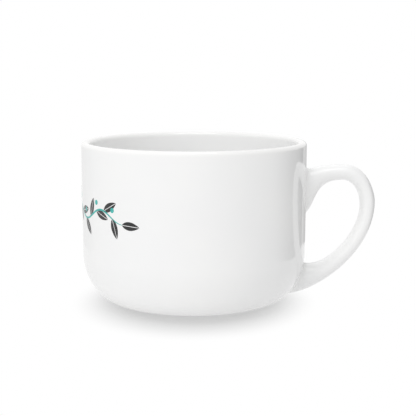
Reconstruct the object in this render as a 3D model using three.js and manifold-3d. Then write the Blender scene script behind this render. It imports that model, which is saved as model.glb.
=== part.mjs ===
// Latte mug: a wide, low stoneware bowl with an ear-shaped strap handle, luted on with clay slip at two roots.
// Millimetres, +Z up. The bowl's foot stands on z = 0 and the handle points along +X.
import * as THREE from "three";
import { mergeVertices } from "three/addons/utils/BufferGeometryUtils.js";
import Module from "manifold-3d";

// Bowl
const rimRadius = 59; // outside of the lip
const mugHeight = 85; // table to the top of the lip
const wallThickness = 4.4; // also the full round of the lip
const wallDraft = 0.35; // how far the wall closes in from the lip down to the shoulder
const floorThickness = 5;
const shoulderReach = 20; // lower rounding of the bowl, measured inwards
const shoulderRise = 26; // lower rounding of the bowl, measured upwards

// Foot ring and the recess inside it
const footHeight = 0.8;
const footRadius = 35;
const footWidth = 4;
const footChamfer = 0.4;
const recessDepth = 2; // table to the underside of the floor
const recessFillet = 1.2;

// Handle: a strap between an outer and an inner edge curve, both in the XZ plane
const handleReach = 36.25; // how far the bow stands out past the lip
const handleTop = 72.45; // table to the top of the upper arm
const strapThickness = 7.9; // at the top of the upper arm
const bowThickness = 7.6; // at the outermost point
const strapWidth = 13.5;
const sectionPower = 2.35; // 2 is an ellipse, more is squarer
const upperArmReach = 20; // lip to the highest point of the upper arm
const bowHeight = 53.2; // table to the outermost point
const innerTopSetback = 1.1; // the inner edge peaks this much nearer the bowl
const innerBowDrop = 3.1; // and turns down this much below the outermost point
const rootDepth = 4; // how far the strap's ends are carried into the bowl before the trim

// Roots: where the two edge curves run into the bowl, and the flare of the strap there
const upperRootTop = 71.7;
const upperRootBottom = 45;
const lowerRootTop = 20.95;
const lowerRootBottom = 4.6;
const lowerRootTuck = 12; // how far the lower tip runs in under the shoulder, from the lip
const upperRootWidth = 18;
const lowerRootWidth = 16.5;

// Slip joints: the band of slip that sticks each root to the bowl
const slipThickness = 1.2;
const slipBead = 1.1; // how far the slip spreads past the root, all round
const clearance = 0.3; // left between pieces that touch

// Facets
const bowlSides = 72;
const lipSteps = 6;
const roundingSteps = 12;
const sectionSides = 24;
const armSteps = 9;
const bowSteps = 9;
const sweepSteps = 15;
const mergeDistance = 1e-4;

// Finishes
const glaze = { color: 0xf6f6f4, roughness: 0.08, metalness: 0 };
const pooledGlaze = { color: 0xf3f3f0, roughness: 0.12, metalness: 0 };

// Heights and radii that follow from the sizes above
const lipRound = wallThickness / 2;
const lipHeight = mugHeight - lipRound;
const shoulderRadius = rimRadius - wallDraft;
const shoulderHeight = footHeight + shoulderRise;
const floorTop = recessDepth + floorThickness;
const axisX = -handleReach / 2; // centres the whole mug over the origin

const wasm = await Module();
wasm.setup();

const flat = (x, y) => new THREE.Vector2(x, y);

function ellipseArc(centreX, centreY, radiusX, radiusY, fromAngle, toAngle, steps) {
  const clockwise = toAngle < fromAngle;
  const curve = new THREE.EllipseCurve(centreX, centreY, radiusX, radiusY, fromAngle, toAngle, clockwise);
  return curve.getPoints(steps);
}

// A profile that starts and ends on the axis, turned about Z.
function turned(profile) {
  return new THREE.LatheGeometry(profile, bowlSides, Math.PI / 2).rotateX(Math.PI / 2);
}

function solidOf(geometry) {
  const bare = new THREE.BufferGeometry().setAttribute("position", geometry.getAttribute("position"));
  if (geometry.index) bare.setIndex(geometry.index);
  const merged = mergeVertices(bare, mergeDistance);
  return new wasm.Manifold(
    new wasm.Mesh({
      numProp: 3,
      vertProperties: new Float32Array(merged.attributes.position.array),
      triVerts: new Uint32Array(merged.index.array),
    }),
  );
}

function geometryOf(solid) {
  const mesh = solid.getMesh();
  const geometry = new THREE.BufferGeometry();
  geometry.setAttribute("position", new THREE.BufferAttribute(mesh.vertProperties, 3));
  geometry.setIndex(new THREE.BufferAttribute(mesh.triVerts, 1));
  geometry.computeVertexNormals();
  return geometry;
}

// The lower rounding of the bowl's outside, from under the shoulder up to the wall, grown outwards by an offset.
function shoulderArc(offset) {
  const centreX = shoulderRadius - shoulderReach;
  return ellipseArc(
    centreX,
    shoulderHeight,
    shoulderReach + offset,
    shoulderRise + offset,
    -Math.PI / 2,
    0,
    roundingSteps,
  );
}

// The jiggered bowl: underside and foot ring, outside, rolled lip, then down the inside to the floor.
function bowlGeometry() {
  const footInner = footRadius - footWidth;
  const lip = ellipseArc(rimRadius - lipRound, lipHeight, lipRound, lipRound, 0, Math.PI, lipSteps);
  const innerWall = shoulderRadius - wallThickness;
  const well = ellipseArc(
    innerWall - shoulderReach,
    shoulderHeight,
    shoulderReach,
    shoulderHeight - floorTop,
    0,
    -Math.PI / 2,
    roundingSteps,
  );
  return turned([
    flat(0, recessDepth),
    flat(footInner - recessFillet, recessDepth),
    flat(footInner, recessDepth - recessFillet),
    flat(footInner, footChamfer),
    flat(footInner + footChamfer, 0),
    flat(footRadius - footChamfer, 0),
    flat(footRadius, footChamfer),
    flat(footRadius, footHeight),
    ...shoulderArc(0),
    ...lip,
    ...well,
    flat(0, floorTop),
  ]);
}

// The bowl filled in and grown by an offset: the surface that the roots and the slip are cut to.
function bowlBlock(offset) {
  const lid = mugHeight + offset;
  return solidOf(
    turned([
      flat(0, footHeight - offset),
      ...shoulderArc(offset),
      flat(rimRadius + offset, lipHeight),
      flat(rimRadius + offset, lid),
      flat(0, lid),
    ]),
  );
}

// A point in the handle's plane, measured from the lip and from the table.
const fromLip = (out, height) => new THREE.Vector3(rimRadius + out, 0, height);

// One edge of the strap as three curves: root to top of the arm, round the bow, and the sweep down to the lower root.
// Each pull is the length of a curve's control arm, and a lean is its angle to the horizontal at a root.
function edgeCurve(edge) {
  const { upperRoot, upperLean, upperPull, top, topPulls } = edge;
  const { bow, bowPulls, lowerRoot, lowerLean, lowerPull } = edge;
  const towards = (point, angle, length) =>
    new THREE.Vector3(point.x + length * Math.cos(angle), 0, point.z + length * Math.sin(angle));
  const up = Math.PI / 2;
  return [
    new THREE.CubicBezierCurve3(
      upperRoot,
      towards(upperRoot, upperLean, upperPull),
      towards(top, 2 * up, topPulls[0]),
      top,
    ),
    new THREE.CubicBezierCurve3(top, towards(top, 0, topPulls[1]), towards(bow, up, bowPulls[0]), bow),
    new THREE.CubicBezierCurve3(
      bow,
      towards(bow, -up, bowPulls[1]),
      towards(lowerRoot, lowerLean, lowerPull),
      lowerRoot,
    ),
  ];
}

const outerEdge = edgeCurve({
  upperRoot: fromLip(-rootDepth, upperRootTop),
  upperLean: -0.3,
  upperPull: 11,
  top: fromLip(upperArmReach, handleTop),
  topPulls: [19.9, 12.6],
  bow: fromLip(handleReach, bowHeight),
  bowPulls: [4.1, 33.2],
  lowerRoot: fromLip(-lowerRootTuck - rootDepth, lowerRootBottom),
  lowerLean: -0.6,
  lowerPull: 12,
});

const innerEdge = edgeCurve({
  upperRoot: fromLip(-rootDepth, upperRootBottom),
  upperLean: 0.2,
  upperPull: 10.7,
  top: fromLip(upperArmReach - innerTopSetback, handleTop - strapThickness),
  topPulls: [18, 2.8],
  bow: fromLip(handleReach - bowThickness, bowHeight - innerBowDrop),
  bowPulls: [12.1, 14],
  lowerRoot: fromLip(-rootDepth, lowerRootTop),
  lowerLean: -0.49,
  lowerPull: 15.9,
});

// The three runs of the strap, in the order of the edge curves.
const [upperArm, bowTurn, lowerSweep] = [0, 1, 2];

// The strap's width along a run: its own width in the bow, flaring out to each root over that root's whole curve.
function widthAt(run, t) {
  const upper = run === upperArm ? (upperRootWidth - strapWidth) * (1 - t) ** 2 : 0;
  const lower = run === lowerSweep ? (lowerRootWidth - strapWidth) * t ** 2 : 0;
  return strapWidth + upper + lower;
}

// One rounded section of the strap, from the outer edge across to the inner edge, grown by an offset.
function strapSection(run, t, offset) {
  const outer = outerEdge[run].getPoint(t);
  const inner = innerEdge[run].getPoint(t);
  const centre = outer.clone().add(inner).multiplyScalar(0.5);
  const across = outer.clone().sub(centre);
  across.setLength(across.length() + offset);
  const halfWidth = widthAt(run, t) / 2 + offset;
  const squared = (value) => Math.sign(value) * Math.abs(value) ** (2 / sectionPower);
  return Array.from({ length: sectionSides }, (_, side) => {
    const angle = (2 * Math.PI * side) / sectionSides;
    const point = centre.clone().addScaledVector(across, squared(Math.cos(angle)));
    point.y = halfWidth * squared(Math.sin(angle));
    return point;
  });
}

// A closed solid lofted through a row of sections.
function loft(sections) {
  const points = sections.flat();
  const last = (sections.length - 1) * sectionSides;
  const faces = [];
  for (let row = 0; row < sections.length - 1; row++) {
    for (let side = 0; side < sectionSides; side++) {
      const a = row * sectionSides + side;
      const b = row * sectionSides + ((side + 1) % sectionSides);
      faces.push(a, a + sectionSides, b, b, a + sectionSides, b + sectionSides);
    }
  }
  for (let side = 1; side < sectionSides - 1; side++) {
    faces.push(0, side, side + 1);
    faces.push(last, last + side + 1, last + side);
  }
  const geometry = new THREE.BufferGeometry().setFromPoints(points);
  geometry.setIndex(faces);
  return solidOf(geometry);
}

function sectionsAlong(run, steps, offset) {
  return Array.from({ length: steps + 1 }, (_, step) => strapSection(run, step / steps, offset));
}

// The whole strap, cut back to leave room for the slip and a clearance on both of its sides.
function handleGeometry() {
  const strap = loft([
    ...sectionsAlong(upperArm, armSteps, 0),
    ...sectionsAlong(bowTurn, bowSteps, 0).slice(1),
    ...sectionsAlong(lowerSweep, sweepSteps, 0).slice(1),
  ]);
  return geometryOf(strap.subtract(bowlBlock(2 * clearance + slipThickness)));
}

// The slip under one root: the strap grown by the bead, kept only in a thin band along the bowl's skin.
function slipGeometry(run, steps) {
  const spread = loft(sectionsAlong(run, steps, slipBead));
  const band = bowlBlock(clearance + slipThickness).subtract(bowlBlock(clearance));
  return geometryOf(spread.intersect(band));
}

function piece(name, geometry, finish) {
  const mesh = new THREE.Mesh(geometry, new THREE.MeshStandardMaterial(finish));
  mesh.name = name;
  return mesh;
}

const mug = new THREE.Group();
mug.add(
  piece("mug_body", bowlGeometry(), glaze),
  piece("handle", handleGeometry(), glaze),
  piece("upper_slip_joint", slipGeometry(upperArm, armSteps), pooledGlaze),
  piece("lower_slip_joint", slipGeometry(lowerSweep, sweepSteps), pooledGlaze),
);
mug.position.x = axisX;

const latteMug = new THREE.Group();
latteMug.add(mug);

export default latteMug;
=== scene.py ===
"""Latte mug in white gloss glaze: the turned bowl, its strap handle, the luted roots and a fired print.

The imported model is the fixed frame. Each piece below is modelled in metres in that frame, at the place
and size of the solid that it stands for, and gets its own procedural finish.
"""
import math

import bmesh
import bpy
from bpy.props import FloatProperty, FloatVectorProperty, IntProperty, PointerProperty
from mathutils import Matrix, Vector


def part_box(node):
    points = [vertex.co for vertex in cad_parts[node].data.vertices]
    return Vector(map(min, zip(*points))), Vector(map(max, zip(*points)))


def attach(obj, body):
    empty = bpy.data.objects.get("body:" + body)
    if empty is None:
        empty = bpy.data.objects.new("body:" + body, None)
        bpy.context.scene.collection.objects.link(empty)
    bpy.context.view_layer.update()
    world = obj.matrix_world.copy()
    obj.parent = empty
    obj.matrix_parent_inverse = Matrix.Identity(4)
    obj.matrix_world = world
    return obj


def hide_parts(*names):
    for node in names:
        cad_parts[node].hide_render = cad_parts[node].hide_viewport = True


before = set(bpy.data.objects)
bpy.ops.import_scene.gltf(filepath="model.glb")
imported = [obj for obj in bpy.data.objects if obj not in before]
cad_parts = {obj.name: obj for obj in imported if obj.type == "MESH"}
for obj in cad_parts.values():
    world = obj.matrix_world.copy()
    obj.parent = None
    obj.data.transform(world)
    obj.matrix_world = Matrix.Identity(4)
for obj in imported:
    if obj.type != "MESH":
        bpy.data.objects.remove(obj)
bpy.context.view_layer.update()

bl_info = {
    "name": "Latte Mug",
    "version": (1, 0, 0),
    "blender": (4, 5, 0),
    "location": "View3D > Sidebar > Mug",
    "description": "Models a glazed latte mug piece by piece, with a studio stage for it",
    "category": "Add Mesh",
}

BOWL_LOW, BOWL_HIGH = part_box("mug_body")
_, HANDLE_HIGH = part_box("handle")
AXIS_X = (BOWL_LOW.x + BOWL_HIGH.x) / 2
RIM_RADIUS = (BOWL_HIGH.y - BOWL_LOW.y) / 2
MUG_HEIGHT = BOWL_HIGH.z - BOWL_LOW.z
HANDLE_REACH = HANDLE_HIGH.x - BOWL_HIGH.x

BODY = "root"
MERGE_DISTANCE = 1e-6
UPPER_ARM, BOW_TURN, LOWER_SWEEP = range(3)

# Rounds of the two searches on the bowl's outside: for its nearest point, and for a distance from it
NEAREST_ROUNDS = 4
HALVINGS = 40

# The print's drawing: grids in columns and rows, and shares of a leaf's, a stem's or a berry's own size
LEAF_GRID, STEM_GRID, BERRY_GRID = (20, 4), (240, 2), (8, 8)
LEAF_OPENING = math.radians(42)
LEAF_FULLNESS, LEAF_BASE_SWELL, LEAF_TIP_LOSS = 0.8, 1.2, 0.4
STEM_TIP, STEM_SWELL = 0.3, 6
BERRY_OFFSET = 3.2
FILM_LAYERS = 3
FILM_SMOOTH_ANGLE = math.radians(40)

# Noise scales per metre, and the heights of bumps in metres
GLOSS_SCALE = 95.0
WAVINESS_SCALE, WAVINESS = 42.0, 0.00004
PEEL_SCALE, PEEL = 1300.0, 0.0000012
BOWL_DEPTH_SCALE, STRAP_DEPTH_SCALE, FILLET_DEPTH_SCALE = 28.0, 36.0, 160.0
WEAR_SCALE, GRIT_SCALE, GRIT = 420.0, 2600.0, 0.00003
INK_SCALE, FLOOR_SCALE = 900.0, 3.0

# The part of a noise's range over which a finish changes
WIDE_BAND = (0.3, 0.7)
DEPTH_BAND = (0.35, 0.7)
WEAR_BAND = (0.5, 0.72)
INK_BAND = (0.45, 0.75)

# Fixed levels of the finishes
GLAZE_IOR = 1.52
CLAY_ROUGHNESS = (0.62, 0.85)
THIN_INK_GAIN, THIN_INK_LIFT = 1.25, 0.004
FLOOR_ROUGHNESS, FLOOR_MOTTLE = 0.9, 0.005

# The table top: its size, and the painted shadow round the mug: within this distance of the axis, narrowed
# across, the floor keeps its lit grey, and beyond it turns plain white
FLOOR_SIDES, FLOOR_RADIUS, FLOOR_INSET = 96, 6.0, 5.4
PAINTED_SHADOW_NARROWING = 1.32
PAINTED_SHADOW_EDGE = (0.046, 0.087)

# Softboxes: name, place, side, whether the floor is all that they light or all that they leave out, and
# whether the glaze mirrors them
SOFTBOXES = (
    ("overhead", (-0.035, -0.186, 0.923), 0.45, "EXCLUDE", True),
    ("key", (-0.576, -0.966, 0.321), 0.80, "EXCLUDE", False),
    ("table", (-0.02, 0.12, 0.95), 1.30, "INCLUDE", True),
    ("back", (-0.018, 0.740, 0.560), 0.50, "EXCLUDE", False),
)

# Cards that glow at a set level and that only reflections see, painting grey and dark reflections into the
# glaze: name, bearings of the ends in degrees, glow levels at the table and at the top, and the share of the
# length over which each end fades to a white glow
FLAGS = (
    ("right_flag", (-20, 42), (0.15, 0.0), (0.5, 0.06)),
    ("rim_flag", (42, 75), (0.48, 0.55), (0.04, 0.3)),
    ("left_flag", (125, 165), (0.88, 0.88), (0.15, 0.15)),
)
FLAG_DISTANCE, FLAG_HEIGHT = 0.20, 0.09
FLAG_BAND = (0.036, 0.050)

SENSOR_WIDTH, CLIP_START = 36.0, 0.01


def length(name, description, default):
    """A size in metres that a user may change."""
    return FloatProperty(name=name, description=description, default=default, unit="LENGTH", precision=5)


def angle(name, description, degrees):
    """An angle that a user may change, given in degrees."""
    return FloatProperty(name=name, description=description, default=math.radians(degrees), subtype="ANGLE")


def colour(name, description, default):
    """A linear colour that a user may change."""
    return FloatVectorProperty(
        name=name, description=description, default=default, size=3, min=0.0, max=1.0, subtype="COLOR"
    )


def amount(name, description, default):
    """A plain number that a user may change."""
    return FloatProperty(name=name, description=description, default=default, min=0.0)


class MugBowlSettings(bpy.types.PropertyGroup):
    """Sizes of the turned bowl."""

    rim_radius: length("Lip radius", "Axis to the outside of the lip", RIM_RADIUS)
    height: length("Height", "Table to the top of the lip", MUG_HEIGHT)
    wall: length("Wall", "Thickness of the wall, and the full round of the lip", 0.0044)
    draft: length("Draft", "How far the wall closes in from the lip to the shoulder", 0.00035)
    floor: length("Floor", "Thickness of the floor above the recess", 0.005)
    shoulder_reach: length("Shoulder reach", "Lower rounding, measured inwards", 0.020)
    shoulder_rise: length("Shoulder rise", "Lower rounding, measured upwards", 0.026)
    foot_height: length("Foot height", "Table to the underside of the shoulder", 0.0008)
    foot_radius: length("Foot radius", "Axis to the outside of the foot ring", 0.035)
    foot_width: length("Foot width", "Width of the foot ring", 0.004)
    foot_round: length("Foot round", "Rounding of the foot ring's edges", 0.0004)
    recess: length("Recess", "Table to the underside of the floor", 0.002)
    recess_round: length("Recess round", "Rounding between the foot ring and the recess", 0.0012)
    sides: IntProperty(name="Sides", description="Steps of the turning", default=256, min=24)


class MugHandleSettings(bpy.types.PropertyGroup):
    """Sizes of the strap handle."""

    reach: length("Reach", "How far the bow stands out past the lip", HANDLE_REACH)
    top: length("Top", "Table to the top of the upper arm", 0.07245)
    strap: length("Strap thickness", "Thickness of the strap at the top of the upper arm", 0.0079)
    bow_strap: length("Bow thickness", "Thickness of the strap at the outermost point", 0.0076)
    width: length("Strap width", "Width of the strap in the bow", 0.0135)
    arm_reach: length("Arm reach", "Lip to the highest point of the upper arm", 0.020)
    bow_height: length("Bow height", "Table to the outermost point", 0.0532)
    top_setback: length("Top setback", "The inner edge peaks this much nearer the bowl", 0.0011)
    bow_drop: length("Bow drop", "The inner edge turns down this much lower", 0.0031)
    root_depth: length("Root depth", "How far the ends run into the clay of the bowl", 0.004)
    upper_root_top: length("Upper root top", "Where the outer edge leaves the bowl", 0.0717)
    upper_root_bottom: length("Upper root bottom", "Where the inner edge leaves the bowl", 0.045)
    lower_root_top: length("Lower root top", "Where the inner edge comes back to the bowl", 0.02095)
    lower_root_bottom: length("Lower root bottom", "Where the outer edge comes back to the bowl", 0.0046)
    lower_root_tuck: length("Lower root tuck", "How far the lower tip runs in under the shoulder", 0.012)
    upper_root_width: length("Upper root width", "Width of the flare at the upper root", 0.018)
    lower_root_width: length("Lower root width", "Width of the flare at the lower root", 0.0165)
    section_power: amount("Section", "Roundness of the section: 2 is an ellipse, more is squarer", 2.35)


class MugSlipSettings(bpy.types.PropertyGroup):
    """Sizes of the fillets of slip and glaze round the handle's roots."""

    upper: length("Upper fillet", "How far the fillet reaches beside the upper root", 0.0018)
    lower: length("Lower fillet", "How far the fillet reaches beside the lower root", 0.0028)
    edge_share: amount("Edge share", "Share of that reach at the strap's outer and inner edges", 0.5)
    bury: length("Bury", "How far the fillet's edges are sunk into the glaze", 0.00003)
    core: length("Core", "How deep the fillet's hidden side lies in the clay", 0.0012)


class MugPrintSettings(bpy.types.PropertyGroup):
    """Sizes and inks of the fired sprig print."""

    height: length("Height", "Table to the middle of the sprig", 0.051)
    half_span: angle("Half span", "Turn of the bowl from the sprig's middle to its end", 64)
    wave: length("Wave", "Rise and fall of the stem", 0.0030)
    wave_length: length("Wave length", "One full wave of the stem", 0.032)
    stem: length("Stem", "Width of the stem's line", 0.0010)
    leaf: length("Leaf", "Length of a leaf", 0.0104)
    leaf_width: length("Leaf width", "Greatest width of a leaf", 0.0042)
    vein: length("Vein", "Bare line down the middle of a leaf", 0.0003)
    leaf_step: length("Leaf step", "Distance along the stem from leaf to leaf", 0.0064)
    berry: length("Berry", "Radius of a berry", 0.0013)
    film: length("Film", "How far the fired ink stands proud of the glaze", 0.00002)
    ink: colour("Leaf ink", "Black ceramic ink", (0.010, 0.010, 0.011))
    stem_ink: colour("Stem ink", "Teal ceramic ink", (0.045, 0.440, 0.400))


class MugGlazeSettings(bpy.types.PropertyGroup):
    """Colours and gloss of the glaze and of the bare clay."""

    glaze: colour("Glaze", "White body seen through clear glaze", (0.925, 0.925, 0.921))
    glaze_deep: colour("Deep glaze", "The same where the glaze lies a little thicker", (0.910, 0.912, 0.912))
    lip_glaze: colour("Lip glaze", "Glaze drawn thin over the lip", (0.925, 0.921, 0.913))
    pooled: colour("Pooled glaze", "Glaze gathered in the fillets", (0.905, 0.907, 0.908))
    clay: colour("Bare clay", "Wiped bearing face of the foot ring", (0.700, 0.670, 0.620))
    clay_worn: colour("Worn clay", "Bearing face where tables have rubbed it", (0.520, 0.500, 0.470))
    gloss_low: amount("Smoothest", "Roughness where the glaze is smoothest", 0.035)
    gloss_high: amount("Roughest", "Roughness where the glaze is roughest", 0.075)
    strap_gloss_low: amount("Strap smoothest", "Roughness where the strap's thinner glaze is smoothest", 0.28)
    strap_gloss_high: amount("Strap roughest", "Roughness where the strap's thinner glaze is roughest", 0.30)


class MugStageSettings(bpy.types.PropertyGroup):
    """Camera and studio light."""

    distance: length("Camera distance", "Camera to the point that it looks at", 0.600)
    elevation: angle("Camera elevation", "How far the camera looks down", 8.65)
    lens: amount("Lens", "Focal length on a 36 mm sensor, in millimetres", 98.2)
    aim_from_axis: length("Aim from axis", "Aim point, from the bowl's axis towards the handle", 0.00737)
    aim_height: length("Aim height", "Table to the point that the camera looks at", 0.04926)
    overhead: amount("Overhead", "Radiance of the softbox over the mug", 3.4)
    key: amount("Key", "Radiance of the large softbox at the front left", 1.95)
    table: amount("Table", "Radiance of the wide lamp over the table top, for the mug's shadow", 0.65)
    back: amount("Back", "Radiance of the softbox behind the mug, which lights the inside", 2.8)
    fill: amount("Fill", "Level of the even room light", 0.605)
    floor_tone: amount("Floor tone", "Tone of the acrylic table top", 0.50)
    underlight: amount("Underlight", "Light that comes up through the table top", 0.43)
    table_glow: amount("Table glow", "The share of that light that the camera sees", 0.29)


SETTINGS = {
    "mug_bowl": MugBowlSettings,
    "mug_handle": MugHandleSettings,
    "mug_slip": MugSlipSettings,
    "mug_print": MugPrintSettings,
    "mug_glaze": MugGlazeSettings,
    "mug_stage": MugStageSettings,
}


# Modelling helpers


def deselect_everything():
    """Leave object mode with nothing selected, so that an operator acts on the new piece alone."""
    if bpy.context.object is not None and bpy.context.object.mode != "OBJECT":
        bpy.ops.object.mode_set(mode="OBJECT")
    bpy.ops.object.select_all(action="DESELECT")


def name_new_piece(name):
    """The primitive that was just added, named."""
    piece = bpy.context.object
    piece.name = name
    piece.data.name = name
    return piece


def select_only(*pieces):
    """Select these objects, the first one active."""
    deselect_everything()
    for piece in pieces:
        piece.select_set(True)
    bpy.context.view_layer.objects.active = pieces[0]


def close_and_turn_out(piece):
    """Merge doubled points and point every face outwards."""
    select_only(piece)
    bpy.ops.object.mode_set(mode="EDIT")
    bpy.ops.mesh.select_all(action="SELECT")
    bpy.ops.mesh.remove_doubles(threshold=MERGE_DISTANCE)
    bpy.ops.mesh.normals_make_consistent(inside=False)
    bpy.ops.object.mode_set(mode="OBJECT")
    bpy.ops.object.shade_smooth()


def finish_piece(piece, slot, *nodes):
    """Tie a finished piece to the frame."""
    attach(piece, BODY)
    if nodes:
        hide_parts(*nodes)


def spread(low, high, steps):
    """Evenly spaced values from low to high, both included."""
    return [low + (high - low) * step / steps for step in range(steps + 1)]


def arc(centre, radii, start, end, steps):
    """Points on an ellipse in the profile plane, between two angles in degrees."""
    turns = [math.radians(degrees) for degrees in spread(start, end, steps)]
    return [
        (centre[0] + radii[0] * math.cos(turn), centre[1] + radii[1] * math.sin(turn))
        for turn in turns
    ]


def line(start, end, steps):
    """Points on a straight stretch of the profile, without its ends."""
    return [
        (start[0] + (end[0] - start[0]) * t, start[1] + (end[1] - start[1]) * t)
        for t in spread(0, 1, steps)[1:-1]
    ]


def turn_profile(name, profile, sides):
    """Draw a profile as a chain of edges from one point, and spin it about the bowl's axis."""
    deselect_everything()
    bpy.ops.mesh.primitive_plane_add(size=MERGE_DISTANCE, location=(0, 0, 0))
    piece = name_new_piece(name)
    bpy.ops.object.mode_set(mode="EDIT")
    bpy.ops.mesh.select_all(action="SELECT")
    bpy.ops.mesh.merge(type="CENTER")
    points = [Vector((AXIS_X + radius, 0, height)) for radius, height in profile]
    bpy.ops.transform.translate(value=points[0])
    for before, after in zip(points, points[1:]):
        bpy.ops.mesh.extrude_vertices_move(TRANSFORM_OT_translate={"value": after - before})
    bpy.ops.mesh.select_all(action="SELECT")
    bpy.ops.mesh.spin(steps=sides, angle=2 * math.pi, center=(AXIS_X, 0, 0), axis=(0, 0, 1))
    close_and_turn_out(piece)
    return piece


def loft_rings(name, rings, closed):
    """Extrude a circle from ring to ring. A closed loft ends where it began, and an open one is capped."""
    deselect_everything()
    bpy.ops.mesh.primitive_circle_add(vertices=len(rings[0]), radius=RIM_RADIUS, fill_type="NOTHING")
    piece = name_new_piece(name)
    bpy.ops.object.mode_set(mode="EDIT")
    cage = bmesh.from_edit_mesh(piece.data)
    cage.verts.ensure_lookup_table()
    current = list(cage.verts)
    for vertex, place in zip(current, rings[0]):
        vertex.co = place
    if not closed:
        bpy.ops.mesh.select_all(action="SELECT")
        bpy.ops.mesh.edge_face_add()
    for ring in rings[1:] + (rings[:1] if closed else []):
        select_loop(cage, current)
        bpy.ops.mesh.extrude_edges_move()
        current = follow_loop(cage, current)
        for vertex, place in zip(current, ring):
            vertex.co = place
    if not closed:
        select_loop(cage, current)
        bpy.ops.mesh.edge_face_add()
    bmesh.update_edit_mesh(piece.data)
    close_and_turn_out(piece)
    return piece


def select_loop(cage, loop):
    """Select the points of one loop and the edges between them, and nothing else."""
    bpy.ops.mesh.select_all(action="DESELECT")
    for vertex, following in zip(loop, loop[1:] + loop[:1]):
        vertex.select = True
        cage.edges.get((vertex, following)).select = True
    cage.select_flush_mode()


def follow_loop(cage, loop):
    """The points that an extrusion has just made, in the order of the loop that they came from."""
    fresh = [vertex for vertex in cage.verts if vertex.select]
    by_place = {vertex.co.to_tuple(): vertex for vertex in fresh}
    return [by_place[vertex.co.to_tuple()] for vertex in loop]


# The bowl's outside, which the roots, fillets and print all follow


def shoulder_radius(bowl):
    """Radius at which the wall meets the shoulder."""
    return bowl.rim_radius - bowl.draft


def shoulder_height(bowl):
    """Height at which the wall meets the shoulder."""
    return bowl.foot_height + bowl.shoulder_rise


def wall_radius(bowl, height):
    """Radius of the straight part of the wall at a height."""
    top = bowl.height - bowl.wall / 2
    share = (height - shoulder_height(bowl)) / (top - shoulder_height(bowl))
    return shoulder_radius(bowl) + bowl.draft * share


def outside_of_bowl(bowl, point):
    """Distance of a point from the bowl's outside, and the outward direction there."""
    radial = Vector((point.x - AXIS_X, point.y, 0))
    radius = radial.length
    outward = radial / radius
    above = point.z - shoulder_height(bowl)
    if above >= 0:
        return radius - wall_radius(bowl, point.z), outward
    beyond = radius - (shoulder_radius(bowl) - bowl.shoulder_reach)
    slope_out = beyond / bowl.shoulder_reach**2
    slope_up = above / bowl.shoulder_rise**2
    steepness = math.hypot(slope_out, slope_up)
    level = beyond * slope_out + above * slope_up - 1
    normal = (outward * slope_out + Vector((0, 0, slope_up))) / steepness
    return level / (2 * steepness), normal


def onto_bowl(bowl, point):
    """The nearest point of the bowl's outside, and its normal."""
    for _ in range(NEAREST_ROUNDS):
        distance, normal = outside_of_bowl(bowl, point)
        point = point - normal * distance
    return point, normal


def bowl_profile(bowl):
    """The bowl's half section, from under the floor round the foot, outside, lip and inside to the floor."""
    inner_foot = bowl.foot_radius - bowl.foot_width
    edge = bowl.foot_round
    shoulder = shoulder_radius(bowl)
    rise = shoulder_height(bowl)
    lip = bowl.wall / 2
    lip_height = bowl.height - lip
    floor_top = bowl.recess + bowl.floor
    hollow = inner_foot - bowl.recess_round
    well = shoulder - bowl.wall - bowl.shoulder_reach
    outer_foot = bowl.foot_radius + edge
    round_steps, shoulder_steps, wall_steps, lip_steps = 6, 40, 24, 20
    recess_steps, foot_steps, floor_steps = 5, 4, 8
    return [
        (0.0, bowl.recess),
        *line((0.0, bowl.recess), (hollow, bowl.recess), recess_steps),
        *arc((hollow, bowl.recess - bowl.recess_round), (bowl.recess_round,) * 2, 90, 0, round_steps),
        *arc((inner_foot + edge, edge), (edge, edge), 180, 270, round_steps),
        *line((inner_foot + edge, 0.0), (bowl.foot_radius - edge, 0.0), foot_steps),
        *arc((bowl.foot_radius - edge, edge), (edge, edge), 270, 360, round_steps),
        *arc((outer_foot, bowl.foot_height - edge), (edge, edge), 180, 90, round_steps),
        *arc(
            (shoulder - bowl.shoulder_reach, rise),
            (bowl.shoulder_reach, bowl.shoulder_rise),
            -90,
            0,
            shoulder_steps,
        ),
        *line((shoulder, rise), (bowl.rim_radius, lip_height), wall_steps),
        *arc((bowl.rim_radius - lip, lip_height), (lip, lip), 0, 180, lip_steps),
        *line((bowl.rim_radius - bowl.wall, lip_height), (shoulder - bowl.wall, rise), wall_steps),
        *arc((well, rise), (bowl.shoulder_reach, rise - floor_top), 0, -90, shoulder_steps),
        *line((well, floor_top), (0.0, floor_top), floor_steps),
        (0.0, floor_top),
    ]


# The handle's strap


def bezier(start, first, second, end, t):
    """A point on a cubic curve."""
    back = 1 - t
    return start * back**3 + first * (3 * back * back * t) + second * (3 * back * t * t) + end * t**3


def towards(point, lean, pull):
    """A control point, a pull away from a point in the handle's plane at a lean to the horizontal."""
    return point + Vector((math.cos(lean), 0, math.sin(lean))) * pull


def edge_runs(upper, upper_lean, upper_pull, top, top_pulls, bow, bow_pulls, lower, lower_lean, lower_pull):
    """One edge of the strap: root to the top of the arm, round the bow, and the sweep to the lower root."""
    up = math.pi / 2
    return (
        (upper, towards(upper, upper_lean, upper_pull), towards(top, 2 * up, top_pulls[0]), top),
        (top, towards(top, 0, top_pulls[1]), towards(bow, up, bow_pulls[0]), bow),
        (bow, towards(bow, -up, bow_pulls[1]), towards(lower, lower_lean, lower_pull), lower),
    )


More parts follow.
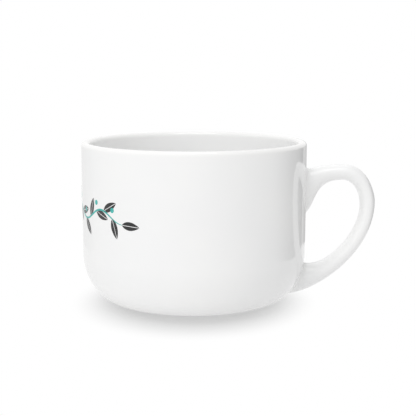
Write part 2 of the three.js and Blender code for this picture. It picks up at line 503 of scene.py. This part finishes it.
def strap_edges(bowl, handle):
    """The outer and the inner edge of the strap, in the handle's plane."""

    def from_lip(out, height):
        return Vector((AXIS_X + bowl.rim_radius + out, 0, height))

    outer = edge_runs(
        upper=from_lip(-handle.root_depth, handle.upper_root_top),
        upper_lean=-0.3,
        upper_pull=0.011,
        top=from_lip(handle.arm_reach, handle.top),
        top_pulls=(0.0199, 0.0126),
        bow=from_lip(handle.reach, handle.bow_height),
        bow_pulls=(0.0041, 0.0332),
        lower=from_lip(-handle.lower_root_tuck - handle.root_depth, handle.lower_root_bottom),
        lower_lean=-0.6,
        lower_pull=0.012,
    )
    inner = edge_runs(
        upper=from_lip(-handle.root_depth, handle.upper_root_bottom),
        upper_lean=0.2,
        upper_pull=0.0107,
        top=from_lip(handle.arm_reach - handle.top_setback, handle.top - handle.strap),
        top_pulls=(0.018, 0.0028),
        bow=from_lip(handle.reach - handle.bow_strap, handle.bow_height - handle.bow_drop),
        bow_pulls=(0.0121, 0.014),
        lower=from_lip(-handle.root_depth, handle.lower_root_top),
        lower_lean=-0.49,
        lower_pull=0.0159,
    )
    return outer, inner


def strap_width(handle, run, t):
    """Width of the strap along a run, flaring out to each root."""
    if run == UPPER_ARM:
        return handle.width + (handle.upper_root_width - handle.width) * (1 - t) ** 2
    if run == LOWER_SWEEP:
        return handle.width + (handle.lower_root_width - handle.width) * t**2
    return handle.width


def squared(value, power):
    """Push a cosine or sine out towards a squarer section."""
    return math.copysign(abs(value) ** (2 / power), value)


def strap_point(edges, handle, run, t, turn):
    """A point of the strap's skin: along a run, and round the section from its outer edge."""
    outer = bezier(*edges[0][run], t)
    inner = bezier(*edges[1][run], t)
    across = (outer - inner) / 2
    point = (outer + inner) / 2 + across * squared(math.cos(turn), handle.section_power)
    point.y = strap_width(handle, run, t) / 2 * squared(math.sin(turn), handle.section_power)
    return point


def ring_turns(sides):
    """Evenly spaced angles round a section."""
    return [2 * math.pi * side / sides for side in range(sides)]


def strap_rings(bowl, handle):
    """Sections of the strap from the upper root to the lower root."""
    edges = strap_edges(bowl, handle)
    section_sides = 72
    run_steps = {UPPER_ARM: 36, BOW_TURN: 36, LOWER_SWEEP: 56}
    stations = [(UPPER_ARM, 0.0)]
    for run, steps in run_steps.items():
        stations += [(run, t) for t in spread(0, 1, steps)[1:]]
    turns = ring_turns(section_sides)
    return [[strap_point(edges, handle, run, t, turn) for turn in turns] for run, t in stations]


# The fillets of slip and glaze round the roots


def station_at(bowl, edges, handle, run, turn, distance):
    """Where along a run the strap's skin lies at a distance from the bowl, at one side of its section."""
    buried, clear = (0.0, 1.0) if run == UPPER_ARM else (1.0, 0.0)
    for _ in range(HALVINGS):
        middle = (buried + clear) / 2
        if outside_of_bowl(bowl, strap_point(edges, handle, run, middle, turn))[0] < distance:
            buried = middle
        else:
            clear = middle
    return (buried + clear) / 2


def strap_normal(edges, handle, run, t, turn):
    """Outward direction of the strap's skin."""
    step = 1e-3
    along = strap_point(edges, handle, run, t + step, turn) - strap_point(edges, handle, run, t - step, turn)
    around = strap_point(edges, handle, run, t, turn + step) - strap_point(edges, handle, run, t, turn - step)
    normal = along.cross(around).normalized()
    centre = (bezier(*edges[0][run], t) + bezier(*edges[1][run], t)) / 2
    outwards = strap_point(edges, handle, run, t, turn) - centre
    return normal if normal.dot(outwards) > 0 else -normal


def fillet_rings(bowl, handle, slip, run):
    """Rings of a fillet's section: up the strap, round the hollow to the bowl, and back through the clay."""
    edges = strap_edges(bowl, handle)
    sides, hollow_steps = 144, 14
    full_reach = slip.upper if run == UPPER_ARM else slip.lower
    rings = [[] for _ in range(hollow_steps + 2)]
    for turn in ring_turns(sides):
        root = station_at(bowl, edges, handle, run, turn, 0.0)
        corner, bowl_normal = onto_bowl(bowl, strap_point(edges, handle, run, root, turn))
        reach = full_reach * (slip.edge_share + (1 - slip.edge_share) * math.sin(turn) ** 2)
        climb = station_at(bowl, edges, handle, run, turn, reach)
        skin_normal = strap_normal(edges, handle, run, root, turn)
        high = strap_point(edges, handle, run, climb, turn)
        high -= strap_normal(edges, handle, run, climb, turn) * slip.bury
        away = (skin_normal - bowl_normal * skin_normal.dot(bowl_normal)).normalized()
        low, low_normal = onto_bowl(bowl, corner + away * reach)
        low = low - low_normal * slip.bury
        for ring, t in zip(rings, spread(0, 1, hollow_steps)):
            ring.append(high * (1 - t) ** 2 + corner * (2 * t * (1 - t)) + low * t**2)
        rings[-1].append(corner - (bowl_normal + skin_normal).normalized() * slip.core)
    return rings


# The fired print: a sprig of leaves on a waving stem, opposite the handle


def on_wall(bowl, sprig, along, height):
    """A point of the print: a way round the bowl from the side away from the handle, and a height."""
    turn = math.pi + along / bowl.rim_radius
    radius = wall_radius(bowl, height) + sprig.film
    return Vector((AXIS_X + radius * math.cos(turn), radius * math.sin(turn), height))


def stem_height(sprig, along):
    """Height of the stem's line."""
    return sprig.height + sprig.wave * math.sin(2 * math.pi * along / sprig.wave_length)


def stem_lean(sprig, along):
    """Angle of the stem's line to the horizontal."""
    steepest = sprig.wave * 2 * math.pi / sprig.wave_length
    return math.atan(steepest * math.cos(2 * math.pi * along / sprig.wave_length))


def printed_patch(name, columns, rows, place):
    """A grid whose points are laid on the wall: place gives one from its share of length and width."""
    deselect_everything()
    bpy.ops.mesh.primitive_grid_add(x_subdivisions=columns, y_subdivisions=rows, size=1, location=(0, 0, 0))
    patch = name_new_piece(name)
    for vertex in patch.data.vertices:
        vertex.co = place(vertex.co.x + 0.5, vertex.co.y + 0.5)
    return patch


def leaf_half(bowl, sprig, base, lean, side):
    """One half of a leaf, from its vein to its edge."""

    def place(share, across):
        run = sprig.leaf * share
        belly = (4 * share * (1 - share)) ** LEAF_FULLNESS
        edge = sprig.leaf_width / 2 * belly * (LEAF_BASE_SWELL - LEAF_TIP_LOSS * share)
        vein = min(sprig.vein / 2, edge)
        off = side * (vein + (edge - vein) * across)
        along = base[0] + run * math.cos(lean) - off * math.sin(lean)
        height = base[1] + run * math.sin(lean) + off * math.cos(lean)
        return on_wall(bowl, sprig, along, height)

    return printed_patch("leaf", *LEAF_GRID, place)


def stem_line(bowl, sprig, reach):
    """The stem, thinning to both of its ends."""

    def place(share, across):
        along = reach * (2 * share - 1)
        taper = min(1.0, STEM_SWELL * min(share, 1 - share) + STEM_TIP)
        off = sprig.stem * taper * (across - 0.5)
        lean = stem_lean(sprig, along)
        height = stem_height(sprig, along) + off * math.cos(lean)
        return on_wall(bowl, sprig, along - off * math.sin(lean), height)

    return printed_patch("stem", *STEM_GRID, place)


def berry_dot(bowl, sprig, centre):
    """A round berry, from a square grid pressed to a disc."""

    def place(share, across):
        u, v = 2 * share - 1, 2 * across - 1
        x = u * math.sqrt(1 - v * v / 2)
        z = v * math.sqrt(1 - u * u / 2)
        return on_wall(bowl, sprig, centre[0] + sprig.berry * x, centre[1] + sprig.berry * z)

    return printed_patch("berry", *BERRY_GRID, place)


def join_print(name, patches, sprig):
    """Join patches of one ink to a piece and give its film a thickness, sunk into the glaze."""
    select_only(*patches)
    bpy.ops.object.join()
    piece = name_new_piece(name)
    bpy.ops.object.mode_set(mode="EDIT")
    bpy.ops.mesh.select_all(action="SELECT")
    bpy.ops.mesh.remove_doubles(threshold=MERGE_DISTANCE)
    bpy.ops.object.mode_set(mode="OBJECT")
    face_out(piece)
    solid = piece.modifiers.new("film", "SOLIDIFY")
    solid.thickness = FILM_LAYERS * sprig.film
    solid.offset = -1
    bpy.ops.object.modifier_apply(modifier=solid.name)
    bpy.ops.object.shade_smooth_by_angle(angle=FILM_SMOOTH_ANGLE)
    return piece


def face_out(piece):
    """Turn the faces of a sheet on the wall away from the bowl's axis."""
    select_only(piece)
    bpy.ops.object.mode_set(mode="EDIT")
    bpy.ops.mesh.select_all(action="DESELECT")
    cage = bmesh.from_edit_mesh(piece.data)
    for face in cage.faces:
        middle = face.calc_center_median()
        face.select = face.normal.dot(Vector((middle.x - AXIS_X, middle.y, 0))) < 0
    bpy.ops.mesh.flip_normals()
    bmesh.update_edit_mesh(piece.data)
    bpy.ops.object.mode_set(mode="OBJECT")


# Finishes


class Finish:
    """A node material, with short ways to add and join its nodes."""

    # Places of the colour sockets among a Mix node's inputs and outputs
    FIRST_COLOUR, SECOND_COLOUR, MIXED_COLOUR = 6, 7, 2

    def __init__(self, name):
        self.material = bpy.data.materials.new(name)
        self.material.use_nodes = True
        self.tree = self.material.node_tree
        self.shader = self.tree.nodes["Principled BSDF"]
        self.place = self.node("ShaderNodeTexCoord").outputs["Object"]

    def node(self, kind, **values):
        """A new node with these settings."""
        added = self.tree.nodes.new(kind)
        for key, value in values.items():
            setattr(added, key, value)
        return added

    def join(self, source, target):
        """Link an output to an input."""
        self.tree.links.new(source, target)

    def feed(self, source, socket):
        """Link an output to one of the shader's own inputs."""
        self.join(source, self.shader.inputs[socket])

    def noise(self, scale, detail=2.0):
        """A noise laid out in metres."""
        added = self.node("ShaderNodeTexNoise")
        added.inputs["Scale"].default_value = scale
        added.inputs["Detail"].default_value = detail
        self.join(self.place, added.inputs["Vector"])
        return added.outputs["Fac"]

    def between(self, value, low, high, to_low=0.0, to_high=1.0):
        """A smooth step of a value from one range to another."""
        added = self.node("ShaderNodeMapRange", interpolation_type="SMOOTHSTEP")
        for key, number in zip(("From Min", "From Max", "To Min", "To Max"), (low, high, to_low, to_high)):
            added.inputs[key].default_value = number
        self.join(value, added.inputs["Value"])
        return added.outputs["Result"]

    def mix(self, factor, first, second):
        """A blend of two colours, each given as a colour or as a node's output."""
        added = self.node("ShaderNodeMix", data_type="RGBA")
        self.join(factor, added.inputs["Factor"])
        for place, source in ((self.FIRST_COLOUR, first), (self.SECOND_COLOUR, second)):
            socket = added.inputs[place]
            if isinstance(source, bpy.types.NodeSocket):
                self.join(source, socket)
            else:
                socket.default_value = (*source, 1.0)
        return added.outputs[self.MIXED_COLOUR]

    def bump(self, height, distance, after=None):
        """A bump of this height, laid over an earlier one where there is one."""
        added = self.node("ShaderNodeBump")
        added.inputs["Strength"].default_value = 1.0
        added.inputs["Distance"].default_value = distance
        self.join(height, added.inputs["Height"])
        if after is not None:
            self.join(after, added.inputs["Normal"])
        return added.outputs["Normal"]

    def height_above_table(self):
        """Height of the point that is shaded."""
        added = self.node("ShaderNodeSeparateXYZ")
        self.join(self.place, added.inputs["Vector"])
        return added.outputs["Z"]


def glaze_gloss(finish, smoothest, roughest):
    """The gloss of a glazed piece: uneven smoothness, slow waviness and a fine peel."""
    smoothness = finish.between(finish.noise(GLOSS_SCALE), *WIDE_BAND, smoothest, roughest)
    finish.feed(smoothness, "Roughness")
    waves = finish.bump(finish.noise(WAVINESS_SCALE, detail=1.0), WAVINESS)
    peel = finish.bump(finish.noise(PEEL_SCALE), PEEL, waves)
    finish.feed(peel, "Normal")
    finish.shader.inputs["IOR"].default_value = GLAZE_IOR


def bowl_glaze(bowl, glaze):
    """White glaze, a little deeper in places and drawn thin over the lip."""
    finish = Finish("bowl_glaze")
    depth = finish.between(finish.noise(BOWL_DEPTH_SCALE), *DEPTH_BAND)
    body = finish.mix(depth, glaze.glaze, glaze.glaze_deep)
    lip = finish.between(finish.height_above_table(), bowl.height - bowl.wall, bowl.height)
    finish.feed(finish.mix(lip, body, glaze.lip_glaze), "Base Color")
    glaze_gloss(finish, glaze.gloss_low, glaze.gloss_high)
    return finish.material


def handle_glaze(glaze):
    """The same glaze on the strap, thinner and with a softer gloss."""
    finish = Finish("handle_glaze")
    depth = finish.between(finish.noise(STRAP_DEPTH_SCALE), *DEPTH_BAND)
    finish.feed(finish.mix(depth, glaze.glaze, glaze.glaze_deep), "Base Color")
    glaze_gloss(finish, glaze.strap_gloss_low, glaze.strap_gloss_high)
    return finish.material


def fillet_glaze(glaze):
    """Glaze that has gathered in the hollow of a root."""
    finish = Finish("fillet_glaze")
    depth = finish.between(finish.noise(FILLET_DEPTH_SCALE), *WIDE_BAND)
    finish.feed(finish.mix(depth, glaze.glaze, glaze.pooled), "Base Color")
    glaze_gloss(finish, glaze.strap_gloss_low, glaze.strap_gloss_high)
    return finish.material


def bare_clay(glaze):
    """Wiped, unglazed clay of the bearing face: dry, gritty and rubbed grey in places."""
    finish = Finish("bare_clay")
    worn = finish.between(finish.noise(WEAR_SCALE, detail=6.0), *WEAR_BAND)
    finish.feed(finish.mix(worn, glaze.clay, glaze.clay_worn), "Base Color")
    grit = finish.noise(GRIT_SCALE, detail=4.0)
    finish.feed(finish.between(grit, *WIDE_BAND, *CLAY_ROUGHNESS), "Roughness")
    finish.feed(finish.bump(grit, GRIT), "Normal")
    return finish.material


def fired_ink(name, ink, glaze):
    """Ceramic ink sunk into the glaze, a little thinner in places."""
    finish = Finish(name)
    thinner = [min(1.0, part * THIN_INK_GAIN + THIN_INK_LIFT) for part in ink]
    cover = finish.between(finish.noise(INK_SCALE, detail=3.0), *INK_BAND)
    finish.feed(finish.mix(cover, ink, thinner), "Base Color")
    glaze_gloss(finish, glaze.gloss_low, glaze.gloss_high)
    return finish.material


def floor_acrylic(stage):
    """A lit acrylic table top that takes the mug's real shadow inside a painted shadow: it keeps its grey
    round the mug and turns plain white further out.
    """
    finish = Finish("floor_acrylic")
    tones = (stage.floor_tone - FLOOR_MOTTLE, stage.floor_tone + FLOOR_MOTTLE)
    finish.feed(finish.between(finish.noise(FLOOR_SCALE), *WIDE_BAND, *tones), "Base Color")
    finish.shader.inputs["Roughness"].default_value = FLOOR_ROUGHNESS
    finish.shader.inputs["Specular IOR Level"].default_value = 0.0
    finish.shader.inputs["Emission Color"].default_value = (1, 1, 1, 1)
    camera_ray = finish.node("ShaderNodeLightPath").outputs["Is Camera Ray"]
    glow = finish.between(camera_ray, 0.0, 1.0, stage.underlight, stage.table_glow)
    finish.feed(glow, "Emission Strength")
    # Painted shadow: near the bowl's axis the floor keeps its lit grey and glow, and further out the camera
    # and reflections see plain white, so the grey round the mug is partly the lamps' shadow and partly
    # painted shade
    from_axis = finish.node("ShaderNodeMapping")
    from_axis.inputs["Location"].default_value = (-AXIS_X * PAINTED_SHADOW_NARROWING, 0, 0)
    from_axis.inputs["Scale"].default_value = (PAINTED_SHADOW_NARROWING, 1, 1)
    finish.join(finish.place, from_axis.inputs["Vector"])
    away = finish.node("ShaderNodeVectorMath", operation="LENGTH")
    finish.join(from_axis.outputs["Vector"], away.inputs[0])
    past_painted_shadow = finish.between(away.outputs["Value"], *PAINTED_SHADOW_EDGE)
    white = finish.node("ShaderNodeEmission")
    seen = finish.node("ShaderNodeMath", operation="MULTIPLY")
    finish.join(past_painted_shadow, seen.inputs[0])
    finish.join(seen_directly(finish.tree), seen.inputs[1])
    blend = finish.node("ShaderNodeMixShader")
    finish.join(seen.outputs["Value"], blend.inputs["Fac"])
    finish.join(finish.shader.outputs["BSDF"], blend.inputs[1])
    finish.join(white.outputs["Emission"], blend.inputs[2])
    finish.join(blend.outputs["Shader"], finish.tree.nodes["Material Output"].inputs["Surface"])
    finish.material.cycles.emission_sampling = "NONE"
    return finish.material


def reflection_card_glow(name, tones, fades):
    """A sheet that glows grey at a fixed level, from its level at the table to its level at the top and white
    at its ends, painting reflections.
    """
    finish = Finish(name + "_cloth")
    tone = finish.between(finish.height_above_table(), *FLAG_BAND, *tones)
    along = finish.node("ShaderNodeSeparateXYZ")
    finish.join(finish.node("ShaderNodeTexCoord").outputs["UV"], along.inputs["Vector"])
    cover = finish.node("ShaderNodeMath", operation="MULTIPLY")
    finish.join(finish.between(along.outputs["X"], 0.0, fades[0]), cover.inputs[0])
    finish.join(finish.between(along.outputs["X"], 1.0, 1.0 - fades[1]), cover.inputs[1])
    level = finish.node("ShaderNodeMix", data_type="FLOAT")
    finish.join(cover.outputs["Value"], level.inputs["Factor"])
    level.inputs["A"].default_value = 1.0
    finish.join(tone, level.inputs["B"])
    # Painted reflection: the card has no colour of its own and glows at these levels, so the grey and dark
    # streaks that it puts in the glaze are painted
    finish.shader.inputs["Base Color"].default_value = (0, 0, 0, 1)
    finish.shader.inputs["Specular IOR Level"].default_value = 0.0
    finish.shader.inputs["Emission Color"].default_value = (1, 1, 1, 1)
    finish.feed(level.outputs["Result"], "Emission Strength")
    finish.material.cycles.emission_sampling = "NONE"
    return finish.material


def seen_directly(tree):
    """1 for camera, glossy and transmission rays, which see the background as plain white."""
    path = tree.nodes.new("ShaderNodeLightPath")
    total = path.outputs["Is Camera Ray"]
    for ray in ("Is Glossy Ray", "Is Transmission Ray"):
        either = tree.nodes.new("ShaderNodeMath")
        either.operation = "MAXIMUM"
        tree.links.new(total, either.inputs[0])
        tree.links.new(path.outputs[ray], either.inputs[1])
        total = either.outputs["Value"]
    return total


# Operators, one for each piece or group of like pieces


class MUG_OT_bowl(bpy.types.Operator):
    """Turn the bowl from its profile, glaze it, and leave the foot's bearing face bare"""

    bl_idname = "mug.bowl"
    bl_label = "Bowl"

    def execute(self, context):
        bowl = context.scene.mug_bowl
        glaze = context.scene.mug_glaze
        piece = turn_profile("glazed_bowl", bowl_profile(bowl), bowl.sides)
        piece.data.materials.append(bowl_glaze(bowl, glaze))
        piece.data.materials.append(bare_clay(glaze))
        self.wipe_foot(piece, bowl)
        finish_piece(piece, "body_glaze", "mug_body")
        return {"FINISHED"}

    def wipe_foot(self, piece, bowl):
        """Give the bearing face of the foot ring the bare clay."""
        select_only(piece)
        bpy.ops.object.mode_set(mode="EDIT")
        bpy.ops.mesh.select_all(action="DESELECT")
        cage = bmesh.from_edit_mesh(piece.data)
        for face in cage.faces:
            face.select = face.calc_center_median().z < bowl.foot_round / 2
        piece.active_material_index = 1
        bpy.ops.object.material_slot_assign()
        bpy.ops.object.mode_set(mode="OBJECT")


class MUG_OT_handle(bpy.types.Operator):
    """Draw the strap from root to root as a loft of rounded sections"""

    bl_idname = "mug.handle"
    bl_label = "Handle"

    def execute(self, context):
        scene = context.scene
        piece = loft_rings("strap_handle", strap_rings(scene.mug_bowl, scene.mug_handle), closed=False)
        piece.data.materials.append(handle_glaze(scene.mug_glaze))
        finish_piece(piece, "handle_glaze", "handle")
        return {"FINISHED"}


class MUG_OT_slip(bpy.types.Operator):
    """Run a fillet of slip and glaze round each root of the handle"""

    bl_idname = "mug.slip"
    bl_label = "Slip fillets"

    def execute(self, context):
        scene = context.scene
        finish = fillet_glaze(scene.mug_glaze)
        for run, name in ((UPPER_ARM, "upper"), (LOWER_SWEEP, "lower")):
            rings = fillet_rings(scene.mug_bowl, scene.mug_handle, scene.mug_slip, run)
            piece = loft_rings(name + "_slip_fillet", rings, closed=True)
            piece.data.materials.append(finish)
            finish_piece(piece, "slip_glaze", name + "_slip_joint")
        return {"FINISHED"}


class MUG_OT_print(bpy.types.Operator):
    """Lay the sprig print on the wall: black leaves on a teal stem with berries"""

    bl_idname = "mug.print"
    bl_label = "Sprig print"

    def execute(self, context):
        scene = context.scene
        bowl, sprig = scene.mug_bowl, scene.mug_print
        reach = bowl.rim_radius * sprig.half_span - sprig.leaf
        leaves = []
        stems = [stem_line(bowl, sprig, reach)]
        steps = int(2 * reach / sprig.leaf_step)
        for step in range(1, steps):
            along = reach * (2 * step / steps - 1)
            facing = 1 if along >= 0 else -1
            above = 1 if step % 2 else -1
            leaves += self.leaf(bowl, sprig, along, facing, above * LEAF_OPENING)
            if step % 2 == 0:
                stems.append(self.berry(bowl, sprig, along, above))
        for facing in (-1, 1):
            leaves += self.leaf(bowl, sprig, facing * reach, facing, 0.0)
        self.ink("leaf_print", leaves, sprig, sprig.ink, scene.mug_glaze)
        self.ink("stem_print", stems, sprig, sprig.stem_ink, scene.mug_glaze)
        return {"FINISHED"}

    def leaf(self, bowl, sprig, along, facing, opening):
        """Both halves of a leaf that grows along the stem's direction of travel, opened away from it."""
        base = (along, stem_height(sprig, along))
        lean = stem_lean(sprig, along) + opening * facing
        if facing < 0:
            lean += math.pi
        return [leaf_half(bowl, sprig, base, lean, side) for side in (-1, 1)]

    def berry(self, bowl, sprig, along, above):
        """A berry on the bare side of the stem."""
        off = -above * BERRY_OFFSET * sprig.berry
        return berry_dot(bowl, sprig, (along, stem_height(sprig, along) + off))

    def ink(self, name, patches, sprig, ink, glaze):
        """Join one ink's patches to a finished piece."""
        piece = join_print(name, patches, sprig)
        piece.data.materials.clear()
        piece.data.materials.append(fired_ink(name + "_ink", ink, glaze))
        finish_piece(piece, "body_glaze")


class MUG_OT_stage(bpy.types.Operator):
    """Set the floor, the room light, the softboxes, the glowing cards that paint reflections, and the camera
    """

    bl_idname = "mug.stage"
    bl_label = "Stage"

    def execute(self, context):
        scene = context.scene
        stage = scene.mug_stage
        floor = self.floor(stage)
        self.room(scene, stage)
        for name, place, side, floor_link, mirrored in SOFTBOXES:
            lamp = self.softbox(name + "_softbox", place, side, getattr(stage, name))
            lamp.visible_glossy = mirrored
            self.link_light(lamp, floor, floor_link)
        for name, bearings, tones, fades in FLAGS:
            self.flag(name, bearings, tones, fades)
        self.camera(scene, stage)
        scene.view_settings.view_transform = "Standard"
        return {"FINISHED"}

    def floor(self, stage):
        """A wide round table top, with a ring of faces under the mug."""
        deselect_everything()
        bpy.ops.mesh.primitive_circle_add(
            vertices=FLOOR_SIDES, radius=FLOOR_RADIUS, fill_type="NGON", location=(0, 0, 0)
        )
        sheet = name_new_piece("floor_sheet")
        bpy.ops.object.mode_set(mode="EDIT")
        bpy.ops.mesh.select_all(action="SELECT")
        bpy.ops.mesh.inset(thickness=FLOOR_INSET)
        bpy.ops.object.mode_set(mode="OBJECT")
        sheet.data.materials.append(floor_acrylic(stage))
        return sheet

    def room(self, scene, stage):
        """Even room light, which the camera and reflections see as plain white."""
        world = bpy.data.worlds.new("studio")
        world.use_nodes = True
        scene.world = world
        tree = world.node_tree
        level = tree.nodes.new("ShaderNodeMapRange")
        level.inputs["To Min"].default_value = stage.fill
        level.inputs["To Max"].default_value = 1.0
        tree.links.new(seen_directly(tree), level.inputs["Value"])
        background = tree.nodes["Background"]
        background.inputs["Color"].default_value = (1, 1, 1, 1)
        tree.links.new(level.outputs["Result"], background.inputs["Strength"])

    def softbox(self, name, place, side, radiance):
        """A square lamp that faces the mug."""
        deselect_everything()
        bpy.ops.object.light_add(type="AREA", location=place)
        lamp = name_new_piece(name)
        lamp.data.shape = "RECTANGLE"
        lamp.data.size = side
        lamp.data.size_y = side
        lamp.data.energy = radiance * math.pi * side * side
        aim = Vector((AXIS_X, 0, MUG_HEIGHT / 2)) - Vector(place)
        lamp.rotation_euler = aim.to_track_quat("-Z", "Y").to_euler()
        return lamp

    def link_light(self, lamp, sheet, state):
        """Keep a lamp's light to the table top, where the mug still throws its shadow, or keep it off."""
        receivers = bpy.data.collections.new(lamp.name + "_receivers")
        receivers.objects.link(sheet)
        receivers.collection_objects[0].light_linking.link_state = state
        lamp.light_linking.receiver_collection = receivers

    def flag(self, name, bearings, tones, fades):
        """A low card beside the mug that glows grey, fading out at its ends, which only reflections in the
        glaze see: a painted reflection, unlit and casting no shadow.
        """
        ends = []
        for bearing in map(math.radians, bearings):
            out, along = FLAG_DISTANCE * math.cos(bearing), FLAG_DISTANCE * math.sin(bearing)
            ends.append(Vector((AXIS_X + out, along, 0)))
        deselect_everything()
        bpy.ops.mesh.primitive_plane_add(size=1, location=(0, 0, 0))
        card = name_new_piece(name)
        for corner in card.data.vertices:
            foot = ends[0].lerp(ends[1], corner.co.x + 0.5)
            corner.co = foot + Vector((0, 0, FLAG_HEIGHT * (corner.co.y + 0.5)))
        card.data.materials.append(reflection_card_glow(name, tones, fades))
        card.visible_camera = False
        card.visible_diffuse = False
        card.visible_shadow = False

    def camera(self, scene, stage):
        """Camera at the handle's broad side, a little above the lip."""
        aim = Vector((AXIS_X + stage.aim_from_axis, 0, stage.aim_height))
        back = Vector((0, -math.cos(stage.elevation), math.sin(stage.elevation)))
        deselect_everything()
        bpy.ops.object.camera_add(location=aim + back * stage.distance)
        view = name_new_piece("view_camera")
        view.rotation_euler = (-back).to_track_quat("-Z", "Y").to_euler()
        view.data.lens = stage.lens
        view.data.sensor_width = SENSOR_WIDTH
        view.data.clip_start = CLIP_START
        scene.camera = view


OPERATORS = (MUG_OT_bowl, MUG_OT_handle, MUG_OT_slip, MUG_OT_print, MUG_OT_stage)


class MUG_PT_panel(bpy.types.Panel):
    """The mug's pieces and their sizes"""

    bl_idname = "MUG_PT_panel"
    bl_label = "Latte Mug"
    bl_space_type = "VIEW_3D"
    bl_region_type = "UI"
    bl_category = "Mug"

    def draw(self, context):
        """A button for each operator, then each group of settings."""
        for operator in OPERATORS:
            self.layout.operator(operator.bl_idname)
        for key, settings in SETTINGS.items():
            box = self.layout.box()
            box.label(text=settings.__name__)
            for name in settings.__annotations__:
                box.prop(getattr(context.scene, key), name)


def register():
    """Add the settings, the operators and the panel to Blender."""
    for settings in SETTINGS.values():
        bpy.utils.register_class(settings)
    for key, settings in SETTINGS.items():
        setattr(bpy.types.Scene, key, PointerProperty(type=settings))
    for operator in OPERATORS:
        bpy.utils.register_class(operator)
    bpy.utils.register_class(MUG_PT_panel)


def unregister():
    """Take them out again."""
    bpy.utils.unregister_class(MUG_PT_panel)
    for operator in reversed(OPERATORS):
        bpy.utils.unregister_class(operator)
    for key, settings in SETTINGS.items():
        delattr(bpy.types.Scene, key)
        bpy.utils.unregister_class(settings)


def main():
    """Make every piece in order."""
    register()
    bpy.ops.mug.stage()
    bpy.ops.mug.bowl()
    bpy.ops.mug.handle()
    bpy.ops.mug.slip()
    bpy.ops.mug.print()


if __name__ == "__main__":
    main()
